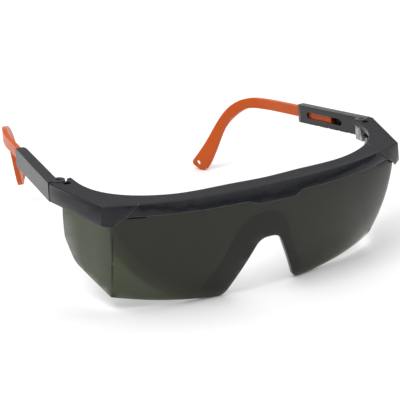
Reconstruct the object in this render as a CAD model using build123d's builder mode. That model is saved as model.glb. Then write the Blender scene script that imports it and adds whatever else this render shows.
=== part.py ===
"""Wrap-around welding spectacles: brow frame, one-piece dark lens and two adjustable folding temples.

Design frame: front of the spectacles towards -Y, +Z up, millimetres. Z = 0 is the brow's front edge
while it is modelled, and everything is then stood on the table. Left and right are as seen from the
front, so "left" is the -X side. Sided pieces are modelled on the +X side and mirrored.
"""
import math
import os

from build123d import *

# ---------------------------------------------------------------- driving dimensions (mm, degrees)
# Brow frame
HALF_WIDTH = 75.0            # half width at the hinges, which is the widest point
EAR = (67.0, -28.0)          # front outer corner of the brow at z = 0
FRONT_Y = -39.3              # front edge at the centre, at z = 0
SIDE_SLOPE = (HALF_WIDTH - EAR[0]) / -EAR[1]
BEVEL_RISE = 0.4             # height of the bevel that runs round the top of the brow
BEVEL_FRONT = 1.1            # how far that bevel steps in at the centre
BEVEL_SIDE = 0.35            # how far it steps in along the sides
LIP_SLANT = 0.68             # forward run of the lip's front face per mm down
EAR_FLARE = (0.08, -0.11)    # run of the front corner per mm down
SHELF_THICK = 1.8
SKIRT_DEPTH = 10.0           # depth of the skirt before its lower edge is cut
LIP_WALL = 0.95
LIP_DEPTH = 4.1              # lower edge of the lip
TAB_DEPTH = 5.6              # lower edge of the centre tab
TAB_TOP, TAB_BOTTOM = 12.2, 7.8   # half widths of the centre tab
LIP_END_X = 57.5             # where the lip's lower edge starts to drop to the corner block
EAR_X, EAR_DEPTH = 63.8, 7.9      # lowest point of the corner block
CORNER_DEPTH = 7.2           # lower edge of the brow at the front corner
SIDE_END_DEPTH = 6.9         # lower edge of the side wall at the rear
CORNER_Y = -28.3             # where the front's lower edge passes into the side wall's
EAR_PROUD = 0.35             # how far the corner blocks stand out from the lip
PROFILE_POWER = 2.75         # the front curve is flat in the middle and tight towards the corners
RIB_GAP = 0.25               # gap between the lens and the rib that keeps it in the brow
RIB_THICK = 1.2
RIB_WIDTH = 112.0
POCKET_ROOM = 0.45           # extra room round the knuckle in the brow's rear corners
RECESS_SIZE = (3.0, 2.2)     # blind recess in the shelf's top over each tilt axis
RECESS_DEPTH = 1.1

# Lens
LENS_THICK = 1.9
LENS_TOP = 3.0               # depth of the lens's upper edge at the front
SHIELD_TOP = 5.0             # depth of the upper edge of its side shields
LENS_FLARE = 0.278           # sideways run of the side shields per mm towards the rear
LENS_REF_DEPTH = 8.6         # depth at which the next values hold
LENS_FRONT_Y = -40.1
LENS_BEND = (63.7, -29.8)    # the bend between the front and a side shield
NOTCH_TOP = 22.6             # depth of the nose notch's crown
NOTCH_BOTTOM = 48.0          # depth of the two lobes' inner ends
NOTCH_HALF_TOP, NOTCH_HALF_BOTTOM = 4.3, 16.6
NOTCH_R = 5.2                # rounding of its crown

# Nose bridge
BRIDGE_DEPTH = 4.8
BRIDGE_WALL = 1.5
BRIDGE_FLARE = 42.0          # angle by which its walls spread towards the face
BRIDGE_LEAN = 0.27           # lean of the lens at the nose, radians

# Hinge block, tilting about an axis along X
TILT_Y, TILT_Z = -3.0, -3.5
BLOCK_X = (66.9, 68.7)
BLOCK_NOSE_R = 1.35
BLOCK_BOTTOM = -8.0
BLOCK_REAR_Y = 1.1
BLOCK_RIBS = 3               # grip ribs on its inner face
BLOCK_RIB_PITCH = 1.0
BLOCK_RIB_SIZE = (0.5, 0.45, 2.4)
TILT_PIN_R = 0.7
TILT_HEAD_R, TILT_HEAD_THICK = 1.25, 0.5
TILT_BOSS_R = 1.6
TILT_PIN_BITE = 4.5          # how far the tilt pin reaches past the block, into the brow
RUN_GAP = 0.05               # radial clearance of a running pin
BODY_GAP = 0.3               # gap between pieces that pass each other

# Folding hinge, about a vertical pin
PIN_X, PIN_Y = 70.5, 1.7
KNUCKLE_R = 2.6
PIN_R = 1.0
PIN_HEAD_R, PIN_HEAD_THICK = 1.7, 0.8
PIN_SOCKET_R, PIN_SOCKET_DEPTH = 0.8, 0.6
EYE_Z = (-4.65, -2.35)

# Sleeve
SLEEVE_TOP = 0.75
SLEEVE_HEIGHT = 8.0
SLEEVE_THICK = 4.4
SLEEVE_FRONT_Y = 0.72
SLEEVE_END_Y = 45.4
DETENT_PITCH = 6.8
DETENTS = 4
DETENT_LENGTH = 1.4
DETENT_RISE = 1.8            # height of a detent slot above the sleeve's underside
DETENT_MOUTH_RISE = 1.0      # height of its opening in the sleeve's inner face
WINDOW_Y = (14.6, 38.4)      # ends of the window in the inner face
WINDOW_HEIGHT = 3.1
FIRST_DETENT_Y = 10.5
REST_DETENT = 2              # the detent that the arm's nib sits in

# Arm
ARM_HEIGHT = 4.7
ARM_THICK = 2.0
ARM_MID_Z = -2.6
ARM_BEND_Y = 62.0            # where the arm starts to curve in towards the head
ARM_BEND_R = 60.0
ARM_BEND = 28.0              # how far it curves before it runs on straight
NIB_HEIGHT = 0.6
ARM_NOSE = 0.9               # how far the arm reaches past the middle of its nib
CORD_HOLE = (106.7, -33.9)   # place of the cord hole in the side view
SLIDE_GAP = 0.1
CORD_HOLE_R = 1.2

# Rest pose
TOE_IN = 6.3
PITCH = {"left": 3.5, "right": 8.9}   # how far each temple slopes down from the shelf's plane
NEUTRAL_PITCH = 3.5          # middle of the hinge block's tilting range
STAND_TILT = 2.608           # lean that puts both lens lobes and the lower arm tip on the table
STAND_LIFT = 48.859
STAND_SHIFT_Y = -31.774


# ---------------------------------------------------------------- shared outlines
def front_curve(corner, crown_y):
    """Points of the front curve from the left corner to the right one."""
    steps = (-1, -0.8, -0.55, -0.3, 0, 0.3, 0.55, 0.8, 1)
    drop = corner[1] - crown_y
    return [(corner[0] * u, crown_y + drop * abs(u) ** PROFILE_POWER) for u in steps]


def wrap_outline(corner, crown_y, rear):
    """Closed D outline: front curve, two straight sides and a straight rear edge."""
    with BuildSketch() as outline:
        with BuildLine():
            front = Spline(front_curve(corner, crown_y))
            Polyline(front @ 1, rear, (-rear[0], rear[1]), front @ 0)
        make_face()
    return outline.sketch


def wrap_solid(levels, ruled=True):
    """Solid through D outlines, each given as (z, corner, crown_y, rear)."""
    outlines = [Pos(0, 0, z) * wrap_outline(corner, crown_y, rear) for z, corner, crown_y, rear in levels]
    with BuildPart() as solid:
        loft(outlines, ruled=ruled)
    return solid.part


def on_side_line(corner, slope, y):
    """The point at the given y on the line that leaves a corner with this sideways slope."""
    return (corner[0] + slope * (y - corner[1]), y)


# ---------------------------------------------------------------- brow frame
def brow_levels(grow=0.0):
    """Outer surface of the brow, from the shelf's top down to the skirt's lower edge."""
    rear_y = 12.0
    rear = on_side_line(EAR, SIDE_SLOPE, rear_y)
    top = (EAR[0] - BEVEL_SIDE, EAR[1] + BEVEL_SIDE - grow)
    foot = (EAR[0] + EAR_FLARE[0] * SKIRT_DEPTH, EAR[1] + EAR_FLARE[1] * SKIRT_DEPTH - grow)
    return [
        (BEVEL_RISE, top, FRONT_Y + BEVEL_FRONT - grow, (rear[0] - BEVEL_SIDE, rear_y)),
        (0.0, (EAR[0], EAR[1] - grow), FRONT_Y - grow, rear),
        (-SKIRT_DEPTH, foot, FRONT_Y - LIP_SLANT * SKIRT_DEPTH - grow, rear),
    ]


def brow_hollow():
    """The space under the shelf: the lens's upper edge stands in it."""
    rear_y = 14.0
    ceiling = BEVEL_RISE - SHELF_THICK
    floor = -SKIRT_DEPTH - 1
    high = (LENS_BEND[0] + 0.2, LENS_BEND[1] + 0.3)
    low = (LENS_BEND[0] + 0.5, LENS_BEND[1] - 1.3)
    return wrap_solid([
        (z, corner, FRONT_Y + LIP_SLANT * z + LIP_WALL, on_side_line(corner, LENS_FLARE, rear_y))
        for z, corner in ((ceiling, high), (floor, low))
    ])


def shelf_opening():
    """The crescent that is open over the wearer's face, cut through the shelf."""
    half = [(15, -32.6), (36, -31.2), (48.4, -27), (59, -19.2), (63.6, -11.7), (65.3, -3.6), (65.4, 1.2)]
    rear = 16.0
    with BuildPart() as opening:
        with BuildSketch(Plane.XY.offset(-SHELF_THICK - 1)):
            with BuildLine():
                inner = Spline([(-x, y) for x, y in reversed(half)] + [(0, -33.4)] + half)
                Polyline(inner @ 1, (half[-1][0], rear), (-half[-1][0], rear), inner @ 0)
            make_face()
        extrude(amount=SHELF_THICK + 2)
    return opening.part


def skirt_trim():
    """What lies below the lower edge of the lip, its centre tab and its ears."""
    below = -SKIRT_DEPTH - 3
    far = HALF_WIDTH + 5
    with BuildPart() as trim:
        with BuildSketch(Plane.XZ.offset(-CORNER_Y)):
            with BuildLine():
                tab = Polyline((0, -TAB_DEPTH), (TAB_BOTTOM, -TAB_DEPTH), (TAB_TOP, -LIP_DEPTH),
                               (LIP_END_X, -LIP_DEPTH))
                drop = ThreePointArc(tab @ 1, (LIP_END_X + 4, -LIP_DEPTH - 1.5), (EAR_X, -EAR_DEPTH))
                Polyline(drop @ 1, (EAR[0] + 0.6, -CORNER_DEPTH), (far, -CORNER_DEPTH), (far, below),
                         (0, below), tab @ 0)
            make_face()
            mirror(about=Plane.YZ)
        extrude(amount=30)
        with BuildSketch(Plane.YZ.offset(-far)):
            with BuildLine():
                Polyline((CORNER_Y, -CORNER_DEPTH), (0, -SIDE_END_DEPTH), (20, -SIDE_END_DEPTH), (20, below),
                         (CORNER_Y, below), close=True)
            make_face()
        extrude(amount=2 * far)
    return trim.part


def ear_mask():
    """Front-view regions of the two corner blocks, with the curved edge where they meet the lip."""
    below = -EAR_DEPTH - 0.4
    with BuildPart() as mask:
        with BuildSketch(Plane.XZ):
            with BuildLine():
                edge = ThreePointArc((53, 1), (58.4, -3.4), (EAR_X, below))
                Polyline(edge @ 1, (80, below), (80, 1), edge @ 0)
            make_face()
            mirror(about=Plane.YZ)
        extrude(amount=60)
    return mask.part


def hinge_relief():
    """Rear cuts of one corner: rear end, pocket round the knuckle and a blind recess in the shelf."""
    high, low = 5.0, -SKIRT_DEPTH - 5
    recess_floor = BEVEL_RISE - RECESS_DEPTH
    wall_x = BLOCK_X[1] + BODY_GAP
    with BuildPart() as relief:
        with BuildSketch(Plane.XY.offset(low)):
            with Locations((wall_x, 0)):
                Rectangle(20, 30, align=(Align.MIN, Align.MIN))
            with Locations((PIN_X, PIN_Y)):
                Circle(KNUCKLE_R + BODY_GAP + POCKET_ROOM)
            with Locations((60, 1.2)):
                Rectangle(20, 30, align=(Align.MIN, Align.MIN))
        extrude(amount=high - low)
        with BuildSketch(Plane.XY.offset(recess_floor)):
            with Locations((PIN_X - 1.5, TILT_Y)):
                Rectangle(*RECESS_SIZE)
        extrude(amount=high - recess_floor)
    return relief.part


def tilt_boss():
    """Boss on the inside of the side wall that carries the tilt pin."""
    with BuildPart() as boss:
        with BuildSketch(Plane.YZ.offset(BLOCK_X[1] + BODY_GAP)):
            with Locations((TILT_Y, TILT_Z)):
                Circle(TILT_BOSS_R)
        extrude(amount=4)
    return boss.part


def lens_rib():
    """Low rib under the shelf, behind the lens's upper edge."""
    gap = LENS_THICK + RIB_GAP
    front = lens_volume(gap, top=-1.0)
    back = lens_volume(gap + RIB_THICK, top=-0.5)
    with BuildPart() as rib:
        add(front)
        add(back, mode=Mode.SUBTRACT)
        with Locations((0, -34, -1.0)):
            Box(RIB_WIDTH, 26, 2 * (LENS_TOP + 0.3), mode=Mode.INTERSECT)
    return rib.part


def make_brow_frame():
    shell = wrap_solid(brow_levels())
    corner_blocks = wrap_solid(brow_levels(EAR_PROUD)) & ear_mask()
    hollow = brow_hollow()
    rib = lens_rib()
    boss = tilt_boss()
    trim = skirt_trim()
    opening = shelf_opening()
    relief = about((0, TILT_Y, TILT_Z), Rot(X=-NEUTRAL_PITCH)) * hinge_relief()
    with BuildPart() as brow:
        add([shell, corner_blocks])
        add(hollow, mode=Mode.SUBTRACT)
        add([rib, boss, boss.mirror(Plane.YZ)])
        add([trim, opening, relief, relief.mirror(Plane.YZ)], mode=Mode.SUBTRACT)
        for side in (-1, 1):
            with Locations(Location((side * (BLOCK_X[1] + TILT_PIN_BITE / 2), TILT_Y, TILT_Z), (0, 90, 0))):
                Cylinder(TILT_PIN_R, TILT_PIN_BITE, mode=Mode.SUBTRACT)
    return brow.part


# ---------------------------------------------------------------- lens
def lens_level(z, inset):
    """D outline of the lens at one height, moved inwards by the given amount."""
    d = -LENS_REF_DEPTH - z
    crown_y = LENS_FRONT_Y + 0.049 * d + 0.0044 * d * d
    bend = (LENS_BEND[0] - 0.0147 * d - 0.0026 * d * d, LENS_BEND[1] + 0.091 * d + 0.0050 * d * d)
    corner = (bend[0] - 0.84 * inset, bend[1] + 0.71 * inset)
    return (z, corner, crown_y + inset, on_side_line(corner, LENS_FLARE, 4.0 + inset))


def lens_volume(inset, top=-LENS_TOP):
    """The space enclosed by the lens surface at the given inset."""
    heights = (top, -14.0, -24.0, -34.0, -44.0, -54.0)
    return wrap_solid([lens_level(z, inset) for z in heights], ruled=False)


def notch_profile():
    """Front-view outline of the nose notch, open at the bottom."""
    with BuildSketch(Plane.XZ) as notch:
        with BuildLine():
            Polyline((-NOTCH_HALF_TOP, -NOTCH_TOP), (NOTCH_HALF_TOP, -NOTCH_TOP),
                     (NOTCH_HALF_BOTTOM, -NOTCH_BOTTOM), (NOTCH_HALF_BOTTOM, -60),
                     (-NOTCH_HALF_BOTTOM, -60), (-NOTCH_HALF_BOTTOM, -NOTCH_BOTTOM), close=True)
        make_face()
        fillet([v for v in notch.vertices() if v.Y > -NOTCH_TOP - 1], NOTCH_R)
    return notch.sketch_local


def lens_outline():
    """Front view of the lens: two lobes with a nose notch between them."""
    far = HALF_WIDTH + 5
    notch = notch_profile()
    with BuildSketch(Plane.XZ) as outline:
        with BuildLine():
            foot = ThreePointArc((NOTCH_HALF_BOTTOM - 3, -NOTCH_BOTTOM), (38, -45.4), (60.2, -42.1))
            Polyline(foot @ 1, (far, -42.1), (far, -SHIELD_TOP), (52, -SHIELD_TOP), (50, 0), (0, 0),
                     (0, -NOTCH_BOTTOM), foot @ 0)
        make_face()
        mirror(about=Plane.YZ)
        add(notch, mode=Mode.SUBTRACT)
        feet = [v for v in outline.vertices() if v.Y < -NOTCH_BOTTOM + 1.5]
        fillet([v for v in feet if abs(v.X) < NOTCH_HALF_BOTTOM + 1], 4.2)
    return outline.sketch


def shield_outline():
    """Side view of the lens with its side shields, as kept."""
    with BuildSketch(Plane.YZ) as outline:
        with BuildLine():
            Polyline((-60, 0), (-5.6, 0), (-5.6, -5.4), (-2.9, -5.4), (-1.6, -22), (-4.6, -32.5),
                     (-21.0, -42.3), (-21.0, -60), (-60, -60), close=True)
        make_face()
        rear = [v for v in outline.vertices() if v.X > -5 and v.Y < -20]
        fillet(rear, 5)
    return outline.sketch


def make_lens():
    outside = lens_volume(0)
    inside = lens_volume(LENS_THICK, top=-LENS_TOP + 0.5)
    front_view = lens_outline()
    side_view = shield_outline()
    with BuildPart() as lens:
        add(outside)
        add(inside, mode=Mode.SUBTRACT)
        extrude(front_view, amount=90, both=True, mode=Mode.INTERSECT)
        extrude(side_view, amount=90, both=True, mode=Mode.INTERSECT)
    return lens.part


# ---------------------------------------------------------------- nose bridge
def bridge_funnel(grow):
    """Notch-shaped prism that widens towards the face, on a plane that leans with the lens."""
    behind_lens_y = -36.65
    lean = Plane(origin=(0, behind_lens_y, -NOTCH_TOP), x_dir=(-1, 0, 0),
                 z_dir=(0, math.cos(BRIDGE_LEAN), math.sin(BRIDGE_LEAN))).offset(-0.5)
    half_top, half_bottom = NOTCH_HALF_TOP + grow, NOTCH_HALF_BOTTOM + grow
    length = NOTCH_BOTTOM - NOTCH_TOP
    with BuildPart() as funnel:
        with BuildSketch(lean) as base:
            with BuildLine():
                Polyline((-half_top, grow), (half_top, grow), (half_bottom, -length),
                         (half_bottom, -2 * length), (-half_bottom, -2 * length), (-half_bottom, -length),
                         close=True)
            make_face()
            fillet([v for v in base.vertices() if v.Y > -1], NOTCH_R + grow)
        extrude(amount=12, taper=-BRIDGE_FLARE)
    return funnel.part


def make_nose_bridge():
    wide = bridge_funnel(BRIDGE_WALL)
    narrow = bridge_funnel(0)
    behind_lens = lens_volume(LENS_THICK + 0.02)
    too_deep = lens_volume(LENS_THICK + BRIDGE_DEPTH, top=0)
    with BuildPart() as bridge:
        add(wide)
        add(narrow, mode=Mode.SUBTRACT)
        add(behind_lens, mode=Mode.INTERSECT)
        add(too_deep, mode=Mode.SUBTRACT)
        with Locations((0, 0, -NOTCH_BOTTOM + 3)):
            Box(200, 200, 100, align=(Align.CENTER, Align.CENTER, Align.MIN), mode=Mode.INTERSECT)
    return bridge.part


# ---------------------------------------------------------------- hinge block and pins
def make_tilt_block():
    """Plate that tilts in the brow's slot, with an eye for the folding pin and grip ribs inside."""
    top = TILT_Z + BLOCK_NOSE_R
    front = TILT_Y - BLOCK_NOSE_R
    with BuildPart() as block:
        with BuildSketch(Plane.YZ.offset(BLOCK_X[0])):
            with BuildLine():
                nose = ThreePointArc((TILT_Y, top), (front, TILT_Z), (TILT_Y, TILT_Z - BLOCK_NOSE_R))
                Polyline(nose @ 1, (TILT_Y - 0.6, BLOCK_BOTTOM), (BLOCK_REAR_Y, BLOCK_BOTTOM + 0.5),
                         (BLOCK_REAR_Y, top), nose @ 0)
            make_face()
        extrude(amount=BLOCK_X[1] - BLOCK_X[0])
        for face_z, away in zip(EYE_Z, (Align.MAX, Align.MIN)):
            with Locations((PIN_X, PIN_Y, face_z)):
                Cylinder(KNUCKLE_R + BODY_GAP, 10, align=(Align.CENTER, Align.CENTER, away),
                         mode=Mode.SUBTRACT)
        with BuildSketch(Plane.XY.offset(EYE_Z[0])):
            with Locations((PIN_X, PIN_Y)):
                Circle(KNUCKLE_R)
        extrude(amount=EYE_Z[1] - EYE_Z[0])
        for row in range(BLOCK_RIBS):
            with Locations((BLOCK_X[0], TILT_Y + 1.3 + row * BLOCK_RIB_PITCH, -6.2)):
                Box(*BLOCK_RIB_SIZE)
        with Locations((PIN_X, PIN_Y, TILT_Z)):
            Cylinder(PIN_R + RUN_GAP, 10, mode=Mode.SUBTRACT)
        with Locations(Location((BLOCK_X[0], TILT_Y, TILT_Z), (0, 90, 0))):
            Cylinder(TILT_PIN_R + RUN_GAP, 10, mode=Mode.SUBTRACT)
    return block.part


def make_tilt_pin():
    """Headed pin, pressed into the brow's boss, on which the hinge block tilts."""
    start = BLOCK_X[0] - BODY_GAP - TILT_HEAD_THICK
    with BuildPart() as pin:
        with BuildSketch(Plane.YZ.offset(start)):
            with Locations((TILT_Y, TILT_Z)):
                Circle(TILT_HEAD_R)
        extrude(amount=TILT_HEAD_THICK)
        with BuildSketch(Plane.YZ.offset(start)):
            with Locations((TILT_Y, TILT_Z)):
                Circle(TILT_PIN_R)
        extrude(amount=BLOCK_X[1] + TILT_PIN_BITE - start)
        fillet(pin.edges().filter_by(GeomType.CIRCLE).group_by(Axis.X)[0], 0.3)
    return pin.part


def make_hinge_pin():
    """Countersunk pin through the sleeve's two ears and the hinge block's eye."""
    with BuildPart() as pin:
        with Locations((PIN_X, PIN_Y, SLEEVE_TOP)):
            Cylinder(PIN_R, SLEEVE_HEIGHT, align=(Align.CENTER, Align.CENTER, Align.MAX))
            Cylinder(PIN_HEAD_R, PIN_HEAD_THICK, align=(Align.CENTER, Align.CENTER, Align.MAX))
        with Locations((PIN_X, PIN_Y, SLEEVE_TOP)):
            Cylinder(PIN_SOCKET_R, PIN_SOCKET_DEPTH, mode=Mode.SUBTRACT)
    return pin.part


# ---------------------------------------------------------------- sleeve
def make_sleeve():
    bottom = SLEEVE_TOP - SLEEVE_HEIGHT
    inner_x = HALF_WIDTH - SLEEVE_THICK
    mid_x = HALF_WIDTH - SLEEVE_THICK / 2
    with BuildPart() as sleeve:
        with BuildSketch(Plane.XY.offset(bottom)):
            with BuildLine():
                Polyline((inner_x, PIN_Y + 4.6), (inner_x, SLEEVE_END_Y - 2.4), (inner_x + 0.9, SLEEVE_END_Y),
                         (HALF_WIDTH, SLEEVE_END_Y), (HALF_WIDTH, SLEEVE_FRONT_Y), (PIN_X, SLEEVE_FRONT_Y),
                         close=True)
            make_face()
            with Locations((PIN_X, PIN_Y)):
                Circle(KNUCKLE_R)
        extrude(amount=SLEEVE_HEIGHT)
        long_edges = sleeve.edges().filter_by(Axis.Y).filter_by(lambda e: e.length > 20)
        fillet(long_edges, 0.35)
        # gap for the hinge block's eye
        with BuildSketch(Plane.XY.offset(EYE_Z[0] - BODY_GAP)):
            with Locations((PIN_X, PIN_Y)):
                Circle(KNUCKLE_R + BODY_GAP)
            with Locations((PIN_X - 6, PIN_Y + 0.6)):
                Rectangle(6, 12)
        extrude(amount=EYE_Z[1] - EYE_Z[0] + 2 * BODY_GAP, mode=Mode.SUBTRACT)
        # channel for the arm, open at the rear
        channel_y = FIRST_DETENT_Y - 3.0
        with Locations((mid_x, channel_y, ARM_MID_Z)):
            Box(ARM_THICK + 2 * SLIDE_GAP, 60, ARM_HEIGHT + 2 * SLIDE_GAP,
                align=(Align.CENTER, Align.MIN, Align.CENTER), mode=Mode.SUBTRACT)
        with Locations((mid_x, channel_y, ARM_MID_Z - ARM_HEIGHT / 2 + 1)):
            Box(ARM_THICK, 60, 1 + NIB_HEIGHT + BODY_GAP,
                align=(Align.CENTER, Align.MIN, Align.MAX), mode=Mode.SUBTRACT)
        # window in the inner face
        with BuildSketch(Plane.YZ.offset(inner_x - 1)):
            with Locations((sum(WINDOW_Y) / 2, ARM_MID_Z - 0.6)):
                SlotOverall(WINDOW_Y[1] - WINDOW_Y[0], WINDOW_HEIGHT)
        extrude(amount=SLEEVE_THICK / 2 + 0.5, mode=Mode.SUBTRACT)
        # detent slots through the bottom wall, open on the inner side
        for step in range(DETENTS):
            with Locations((mid_x + ARM_THICK / 2, FIRST_DETENT_Y + step * DETENT_PITCH, bottom)):
                for width, rise in ((ARM_THICK, DETENT_RISE), (SLEEVE_THICK, DETENT_MOUTH_RISE)):
                    Box(width, DETENT_LENGTH, 2 * rise, align=(Align.MAX, Align.CENTER, Align.CENTER),
                        mode=Mode.SUBTRACT)
        with Locations((PIN_X, PIN_Y, 0)):
            Cylinder(PIN_R, 30, mode=Mode.SUBTRACT)
        with Locations((PIN_X, PIN_Y, SLEEVE_TOP)):
            Cylinder(PIN_HEAD_R, PIN_HEAD_THICK, align=(Align.CENTER, Align.CENTER, Align.MAX),
                     mode=Mode.SUBTRACT)
    return sleeve.part


# ---------------------------------------------------------------- arm
def arm_side_view():
    """Side outline of the arm: straight blade, downward bend and a paddle with a rounded end."""
    high = ARM_MID_Z + ARM_HEIGHT / 2
    low = ARM_MID_Z - ARM_HEIGHT / 2
    start = FIRST_DETENT_Y + REST_DETENT * DETENT_PITCH - ARM_NOSE
    with BuildSketch(Plane.YZ) as side:
        with BuildLine():
            top = Line((start, high), (75.0, high))
            back = Spline(top @ 1, (82.6, -1.3), (89.0, -4.7), (94.5, -11.0), (109.6, -34.0),
                          tangents=((1, 0), (0.61, -0.79)))
            tip = Polyline(back @ 1, (104.2, -38.2), (101.7, -34.6))
            front = Spline(tip @ 1, (96.9, -23.9), (92.4, -14.6), (85.1, -7.7), (75.0, low),
                           tangents=((-0.45, 0.89), (-1, 0)))
            Polyline(front @ 1, (start, low), top @ 0)
        make_face()
        ends = [v for v in side.vertices() if v.Y < -33]
        fillet(ends, 2.0)
    return side.sketch


def arm_plan_view():
    """Plan outline of the arm: straight, then bent in towards the head and straight again."""
    mid_x = HALF_WIDTH - SLEEVE_THICK / 2
    half = ARM_THICK / 2
    centre = (mid_x - ARM_BEND_R, ARM_BEND_Y)
    tail = 60
    with BuildSketch() as plan:
        with BuildLine():
            outer = Line((mid_x + half, 0), (mid_x + half, ARM_BEND_Y))
            bend_out = CenterArc(centre, ARM_BEND_R + half, 0, ARM_BEND)
            tail_out = PolarLine(bend_out @ 1, tail, 90 + ARM_BEND)
            inner = Line((mid_x - half, 0), (mid_x - half, ARM_BEND_Y))
            bend_in = CenterArc(centre, ARM_BEND_R - half, 0, ARM_BEND)
            tail_in = PolarLine(bend_in @ 1, tail, 90 + ARM_BEND)
            Line(tail_out @ 1, tail_in @ 1)
            Line(inner @ 0, outer @ 0)
        make_face()
    return plan.sketch


def make_arm():
    low = ARM_MID_Z - ARM_HEIGHT / 2
    nib_y = FIRST_DETENT_Y + REST_DETENT * DETENT_PITCH
    mid_x = HALF_WIDTH - SLEEVE_THICK / 2
    side_view = arm_side_view()
    plan_view = arm_plan_view()
    with BuildPart() as arm:
        extrude(side_view, amount=100)
        extrude(plan_view, amount=50, both=True, mode=Mode.INTERSECT)
        with Locations((mid_x, nib_y, low - NIB_HEIGHT)):
            Box(ARM_THICK - 2 * BODY_GAP, 1.1, 2 * NIB_HEIGHT, align=(Align.CENTER, Align.CENTER, Align.MIN))
        with Locations(cord_hole_axis()):
            Cylinder(CORD_HOLE_R, 12, mode=Mode.SUBTRACT)
    return arm.part


def cord_hole_axis():
    """Place of the neck-cord hole near the tip, square to the blade there."""
    turn = math.radians(ARM_BEND)
    past_bend = CORD_HOLE[0] - ARM_BEND_Y - ARM_BEND_R * math.sin(turn)
    drift = ARM_BEND_R * (1 - math.cos(turn)) + past_bend * math.tan(turn)
    centre_x = HALF_WIDTH - SLEEVE_THICK / 2 - drift
    return Plane((centre_x, *CORD_HOLE), x_dir=(0, 0, 1), z_dir=(math.cos(turn), math.sin(turn), 0)).location


# ---------------------------------------------------------------- placing and writing
def about(point, turn):
    """A turn about a point."""
    return Pos(*point) * turn * Pos(*[-c for c in point])


STAND = Pos(0, STAND_SHIFT_Y, STAND_LIFT) * Rot(X=STAND_TILT)


def pitched(side):
    """Tilt of one side's hinge block about its pin."""
    return about((0, TILT_Y, TILT_Z), Rot(X=-PITCH[side]))


def folded_open(side):
    """Tilt and toe-in of one side's sleeve and arm."""
    return pitched(side) * about((PIN_X, PIN_Y, 0), Rot(Z=TOE_IN))


def write(shape, name):
    shape.label = name
    export_step(shape, f"parts/{name}.step")


os.makedirs("parts", exist_ok=True)

central = {"brow_frame": make_brow_frame(), "lens": make_lens(), "nose_bridge": make_nose_bridge()}
for part_name, made in central.items():
    write(STAND * made, part_name)

sided = {
    "tilt_block": (make_tilt_block(), pitched),
    "tilt_pin": (make_tilt_pin(), None),
    "hinge_pin": (make_hinge_pin(), folded_open),
    "temple_sleeve": (make_sleeve(), folded_open),
    "temple_arm": (make_arm(), folded_open),
}
for part_name, (made, placing) in sided.items():
    for side in ("left", "right"):
        placed = made if placing is None else placing(side) * made
        if side == "left":
            placed = mirror(placed, about=Plane.YZ)
        write(STAND * placed, f"{part_name}_{side}")
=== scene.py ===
"""Looks of the welding spectacles: a finish for every CAD node, softened edges, floor, light and camera."""
import math

import bpy
from mathutils import Matrix, Vector


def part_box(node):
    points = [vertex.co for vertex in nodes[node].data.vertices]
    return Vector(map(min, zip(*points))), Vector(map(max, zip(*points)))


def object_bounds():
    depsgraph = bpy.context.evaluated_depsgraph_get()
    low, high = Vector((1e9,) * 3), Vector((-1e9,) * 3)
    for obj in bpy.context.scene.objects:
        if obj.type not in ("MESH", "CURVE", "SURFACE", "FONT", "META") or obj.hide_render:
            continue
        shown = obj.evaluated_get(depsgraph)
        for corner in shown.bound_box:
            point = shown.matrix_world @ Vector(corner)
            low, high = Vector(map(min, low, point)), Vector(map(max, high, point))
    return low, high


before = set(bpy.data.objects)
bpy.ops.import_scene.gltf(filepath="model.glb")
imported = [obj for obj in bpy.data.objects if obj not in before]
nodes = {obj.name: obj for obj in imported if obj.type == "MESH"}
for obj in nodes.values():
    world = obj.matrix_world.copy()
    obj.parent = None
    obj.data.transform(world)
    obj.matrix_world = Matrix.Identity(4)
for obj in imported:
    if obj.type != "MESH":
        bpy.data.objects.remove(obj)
cad_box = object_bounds()
SIDES = ("left", "right")

# ---------------------------------------------------------------- driving values (metres, degrees)
MM = 0.001
CAMERA_AZIMUTH = -28.98
CAMERA_ELEVATION = 21.66
CAMERA_ROLL = -1.02
CAMERA_DISTANCE = 0.5879
CAMERA_AIM = (0.0043, -0.0058, -0.0075)         # from the centre of the CAD box
CAMERA_LENS = 123.7
FLOOR_SIZE = 8.0
FLOOR_DROP = 0.0002                             # how far the floor lies below the object
WORLD_LIGHT = 1.35
CEILING_FADE = (0.30, 0.75, 0.07, 1.0)          # from height, to height, and the brightness at each
HORIZON_FADE = (0.15, 0.21, 0.75, 0.0)          # a pale band behind the floor's far edge
KEY_PLACE = (-0.55, -0.25, 1.0)
KEY_SIZE = 0.45
KEY_POWER = 5.0
GLINT_PLACE = (0.50, -0.39, 0.87)               # a small lamp that glints on the brow's front crease
GLINT_SIZE = 0.10
GLINT_POWER = 0.9
EDGE_WEAR_AND_HIGHLIGHT = 0.00028                             # width of the pale line along an edge, partly rubbed wear and partly a painted highlight
SHIELD_START = 0.30                             # where the lens's side tint begins, as a share of its depth
SHIELD_BLEND = 0.0012                           # length over which the front tint turns into it
WELD_REACH = 0.001 * MM                         # corners nearer than this become one
SHARP_ANGLE = 24                                # edges that turn by less than this stay as they are


# ---------------------------------------------------------------- materials
def new_material(name, roughness, specular=0.5):
    """A material and its Principled shader, with the values that are the same all over."""
    material = bpy.data.materials.new(name)
    material.use_nodes = True
    shader = material.node_tree.nodes["Principled BSDF"]
    shader.inputs["Roughness"].default_value = roughness
    shader.inputs["Specular IOR Level"].default_value = specular
    return material, shader


def node(material, kind, settings=None, **inputs):
    """Adds a shader node, sets its fields and fills or links its inputs; _2 is the input numbered 2."""
    made = material.node_tree.nodes.new(kind)
    for field, value in (settings or {}).items():
        setattr(made, field, value)
    for key, value in inputs.items():
        socket = made.inputs[int(key[1:])] if key[0] == "_" else made.inputs[key]
        if isinstance(value, bpy.types.NodeSocket):
            material.node_tree.links.new(value, socket)
        else:
            socket.default_value = value
    return made


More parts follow.
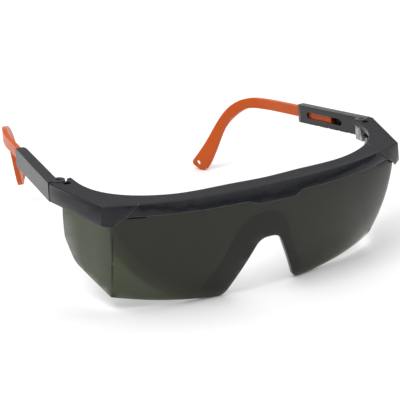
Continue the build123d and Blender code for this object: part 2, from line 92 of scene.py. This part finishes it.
def noise(material, size, detail=3.0, stretch=(1, 1, 1)):
    """Noise in object space whose features are about the given size in metres."""
    place = node(material, "ShaderNodeTexCoord").outputs["Object"]
    spread = node(material, "ShaderNodeMapping", Vector=place, Scale=stretch).outputs["Vector"]
    return node(material, "ShaderNodeTexNoise", Vector=spread, Scale=1 / size, Detail=detail).outputs["Fac"]


def ramp(material, value, low, high, out_low=0.0, out_high=1.0):
    """Maps a value from one range to another, clamped."""
    mapped = node(material, "ShaderNodeMapRange", _0=value, _1=low, _2=high, _3=out_low, _4=out_high)
    return mapped.outputs["Result"]


def mix(material, factor, first, second):
    """Mixes two colours."""
    mixed = node(material, "ShaderNodeMix", {"data_type": "RGBA"}, _0=factor, _6=first, _7=second)
    return mixed.outputs[2]


def shade(colour, factor):
    """The colour made brighter or darker by a factor."""
    return tuple(factor * part for part in colour[:3]) + (1,)


def combine(material, first, second, operation="ADD"):
    """Adds two values, or joins them by another operation."""
    return node(material, "ShaderNodeMath", {"operation": operation}, _0=first, _1=second).outputs[0]


def finish(material, shader, colour, roughness, height, depth):
    """Links colour, roughness and bump to the shader."""
    links = material.node_tree.links
    bump = node(material, "ShaderNodeBump", Height=height, Distance=depth, Strength=1.0)
    links.new(colour, shader.inputs["Base Color"])
    links.new(roughness, shader.inputs["Roughness"])
    links.new(bump.outputs["Normal"], shader.inputs["Normal"])
    return material


def scratches(material, amount):
    """Fine handling scratches running two ways, from 0 to the given amount."""
    along = ramp(material, noise(material, 0.00025, 2.0, (1, 0.02, 0.3)), 0.64, 0.70, 0, amount)
    across = ramp(material, noise(material, 0.0003, 2.0, (0.03, 1, 0.3)), 0.66, 0.72, 0, amount)
    return combine(material, along, across, "MAXIMUM")


def edge_wear_and_highlight(material):
    """How near a point lies to an edge, where a rounded normal leaves the true one, broken up by noise. It
    marks the pale edges, which are partly rubbed wear and partly a painted highlight.
    """
    rounded = node(material, "ShaderNodeBevel", {"samples": 6}, Radius=EDGE_WEAR_AND_HIGHLIGHT).outputs["Normal"]
    true = node(material, "ShaderNodeNewGeometry").outputs["Normal"]
    agree = node(material, "ShaderNodeVectorMath", {"operation": "DOT_PRODUCT"}, _0=rounded, _1=true)
    edge = ramp(material, agree.outputs["Value"], 0.995, 0.90)
    patches = ramp(material, noise(material, 0.0018), 0.3, 0.6, 0.45, 1.0)
    return combine(material, edge, patches, "MULTIPLY")


def moulded_plastic(name, dark, light, wear_and_highlight_colour, roughness, grain, grain_depth, specular=0.5, edge_wear_and_highlight_strength=0.3):
    """Moulded plastic: mottled colour, fine spark-eroded grain, faint scratches and pale edges that are
    partly rubbed wear and partly a painted highlight.
    """
    material, shader = new_material(name, roughness, specular)
    mottle = ramp(material, noise(material, 0.018), 0.2, 0.8)
    colour = mix(material, mottle, dark, light)
    marks = scratches(material, 0.35)
    colour = mix(material, ramp(material, marks, 0, 1, 0, 0.15), colour, wear_and_highlight_colour)
    # the edges turn pale: partly rubbed wear, partly a painted highlight
    colour = mix(material, ramp(material, edge_wear_and_highlight(material), 0, 1, 0, edge_wear_and_highlight_strength), colour, wear_and_highlight_colour)
    polish = ramp(material, noise(material, 0.008), 0.2, 0.8, roughness - 0.03, roughness + 0.04)
    rough = combine(material, polish, ramp(material, marks, 0, 1, 0, 0.15))
    height = combine(material, noise(material, grain, 2.0), ramp(material, marks, 0, 1, 0, 0.4), "SUBTRACT")
    return finish(material, shader, colour, rough, height, grain_depth)


def lens_tint(name, front, shield, rough):
    """Polished dark filter: the side shields are a lighter tint than the front."""
    material, shader = new_material(name, rough, 0.07)
    place = node(material, "ShaderNodeTexCoord").outputs["Object"]
    y = node(material, "ShaderNodeSeparateXYZ", Vector=place).outputs["Y"]
    lens_low, lens_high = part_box("lens")
    bend_y = lens_low[1] + SHIELD_START * (lens_high[1] - lens_low[1])
    to_side = ramp(material, y, bend_y, bend_y + SHIELD_BLEND)
    colour = mix(material, to_side, front, shield)
    drift = ramp(material, noise(material, 0.03), 0.3, 0.7, 0.0, 0.12)
    colour = mix(material, drift, colour, shade(front, 1.5))
    marks = scratches(material, 0.25)
    smear = ramp(material, noise(material, 0.009, 4.0, (1, 0.5, 0.4)), 0.45, 0.75, 0.0, 0.05)
    smeared = ramp(material, smear, 0, 1, rough, rough + 1)
    roughness = combine(material, smeared, ramp(material, marks, 0, 1, 0, 0.1))
    shader.inputs["IOR"].default_value = 1.4
    shader.inputs["Transmission Weight"].default_value = 0.8
    return finish(material, shader, colour, roughness, noise(material, 0.02, 1.0), 0.00006)


def steel(name, colour, roughness):
    """Dull mottled steel with fine marks drawn out along Z."""
    material, shader = new_material(name, roughness)
    shader.inputs["Metallic"].default_value = 0.9
    mottle = ramp(material, noise(material, 0.0008), 0.3, 0.7)
    tone = mix(material, mottle, colour, shade(colour, 0.7))
    rough = ramp(material, noise(material, 0.0004), 0.3, 0.7, roughness - 0.08, roughness + 0.1)
    return finish(material, shader, tone, rough, noise(material, 0.0002, 2.0, (1, 1, 0.1)), 0.00001)


def orange_nylon(name):
    """Slightly translucent orange nylon, paler along its edges, partly from rubbed wear and partly as a
    painted highlight.
    """
    material = moulded_plastic(name, (0.47, 0.070, 0.003, 1), (0.54, 0.086, 0.005, 1),
                               (0.66, 0.20, 0.05, 1), 0.30, 0.0006, 0.00001, 0.22)
    shader = material.node_tree.nodes["Principled BSDF"]
    shader.inputs["Subsurface Weight"].default_value = 0.15
    shader.inputs["Subsurface Radius"].default_value = (1.0, 0.35, 0.12)
    shader.inputs["Subsurface Scale"].default_value = 0.0025
    return material


# the fourth colour lightens scratches and edges; on the edges it is partly a painted highlight
black_nylon = moulded_plastic("black_nylon", (0.0065, 0.007, 0.0095, 1), (0.0085, 0.009, 0.012, 1),
                              (0.16, 0.16, 0.17, 1), 0.22, 0.00035, 0.0000025, 0.30, 0.55)
sleeve_nylon = moulded_plastic("sleeve_nylon", (0.010, 0.0105, 0.012, 1), (0.016, 0.0165, 0.019, 1),
                               (0.20, 0.20, 0.21, 1), 0.28, 0.00035, 0.000004, 0.38, 0.55)
soft_black = moulded_plastic("soft_black", (0.003, 0.003, 0.003, 1), (0.006, 0.006, 0.006, 1),
                             (0.04, 0.04, 0.042, 1), 0.6, 0.0003, 0.00002)
grey_nylon = moulded_plastic("grey_nylon", (0.40, 0.40, 0.41, 1), (0.52, 0.52, 0.53, 1),
                             (0.7, 0.7, 0.7, 1), 0.42, 0.0004, 0.00002)
dark_lens = lens_tint("dark_lens", (0.0135, 0.0155, 0.0075, 1), (0.061, 0.071, 0.038, 1), 0.045)
FINISHES = {
    "brow_frame": black_nylon,
    "lens": dark_lens,
    "nose_bridge": soft_black,
    "tilt_block": grey_nylon,
    "tilt_pin": steel("dull_steel", (0.30, 0.30, 0.31, 1), 0.4),
    "hinge_pin": steel("blackened_steel", (0.05, 0.05, 0.055, 1), 0.42),
    "temple_sleeve": sleeve_nylon,
    "temple_arm": orange_nylon("orange_nylon"),
}
EDGE_WIDTH = {                                  # rounding of the edges, in millimetres
    "brow_frame": 0.30,
    "lens": 0.25,
    "nose_bridge": 0.2,
    "tilt_block": 0.08,
    "temple_sleeve": 0.22,
    "temple_arm": 0.35,
}


def base_name(name):
    """The node's name without its side."""
    for side in SIDES:
        name = name.removesuffix("_" + side)
    return name


def soften_edges(obj, width):
    """Small rounded edges, as a mould leaves them. The CAD mesh is split along every edge between faces,
    so its corners are joined first: without that the bevel finds no edge to round."""
    weld = obj.modifiers.new("joined_edges", "WELD")
    weld.merge_threshold = WELD_REACH
    bevel = obj.modifiers.new("soft_edges", "BEVEL")
    bevel.width = width * MM
    bevel.segments = 2
    bevel.limit_method = "ANGLE"
    bevel.angle_limit = math.radians(SHARP_ANGLE)
    bevel.harden_normals = True


for name, obj in nodes.items():
    kind = base_name(name)
    obj.data.materials.clear()
    obj.data.materials.append(FINISHES[kind])
    if kind in EDGE_WIDTH:
        soften_edges(obj, EDGE_WIDTH[kind])


# ---------------------------------------------------------------- floor, light, camera
def pale_floor():
    """A wide pale sheet just under the object."""
    bpy.ops.mesh.primitive_plane_add(size=FLOOR_SIZE, location=(0, 0, cad_box[0][2] - FLOOR_DROP))
    floor = bpy.context.object
    floor.name = "studio_floor"
    material, shader = new_material("pale_paper", 0.85, 0.2)
    mottle = ramp(material, noise(material, 0.15), 0.3, 0.7)
    tone = mix(material, mottle, (0.86, 0.86, 0.86, 1), (0.89, 0.89, 0.89, 1))
    material.node_tree.links.new(tone, shader.inputs["Base Color"])
    floor.data.materials.append(material)


def soft_box(name, place, size, power):
    """A square area light aimed at the middle of the object."""
    data = bpy.data.lights.new(name, "AREA")
    data.size = size
    data.energy = power
    light = bpy.data.objects.new(name, data)
    bpy.context.scene.collection.objects.link(light)
    light.location = place
    light.rotation_euler = (middle() - Vector(place)).to_track_quat("-Z", "Y").to_euler()


def middle():
    """The centre of the CAD box."""
    low, high = (Vector(corner) for corner in cad_box)
    return (low + high) / 2


def studio_light():
    """A bright ceiling, a grey belt below it, a pale horizon, a soft key light and a small edge light."""
    world = bpy.data.worlds.new("studio")
    world.use_nodes = True
    tree = world.node_tree
    direction = tree.nodes.new("ShaderNodeTexCoord").outputs["Generated"]
    split = tree.nodes.new("ShaderNodeSeparateXYZ")
    tree.links.new(direction, split.inputs["Vector"])
    brightest = tree.nodes.new("ShaderNodeMath")
    brightest.operation = "MAXIMUM"
    for slot, values in enumerate((CEILING_FADE, HORIZON_FADE)):
        fade = tree.nodes.new("ShaderNodeMapRange")
        tree.links.new(split.outputs["Z"], fade.inputs["Value"])
        for key, value in zip(("From Min", "From Max", "To Min", "To Max"), values):
            fade.inputs[key].default_value = value
        tree.links.new(fade.outputs["Result"], brightest.inputs[slot])
    backdrop = tree.nodes["Background"]
    tree.links.new(brightest.outputs[0], backdrop.inputs["Color"])
    backdrop.inputs["Strength"].default_value = WORLD_LIGHT
    bpy.context.scene.world = world
    soft_box("key", KEY_PLACE, KEY_SIZE, KEY_POWER)
    soft_box("edge", GLINT_PLACE, GLINT_SIZE, GLINT_POWER)


def add_camera():
    """A camera on the photograph's viewing line, looking at the aim point."""
    azimuth, elevation = math.radians(CAMERA_AZIMUTH), math.radians(CAMERA_ELEVATION)
    back = Vector((math.sin(azimuth) * math.cos(elevation), -math.cos(azimuth) * math.cos(elevation),
                   math.sin(elevation)))
    data = bpy.data.cameras.new("camera")
    data.lens = CAMERA_LENS
    data.clip_start = 0.01
    camera = bpy.data.objects.new("camera", data)
    bpy.context.scene.collection.objects.link(camera)
    aim = middle() + Vector(CAMERA_AIM)
    upright = back.to_track_quat("Z", "Y").to_matrix().to_4x4()
    turn = upright @ Matrix.Rotation(math.radians(CAMERA_ROLL), 4, "Z")
    camera.matrix_world = Matrix.Translation(aim + back * CAMERA_DISTANCE) @ turn
    bpy.context.scene.camera = camera


pale_floor()
studio_light()
add_camera()
bpy.context.scene.view_settings.view_transform = "Standard"
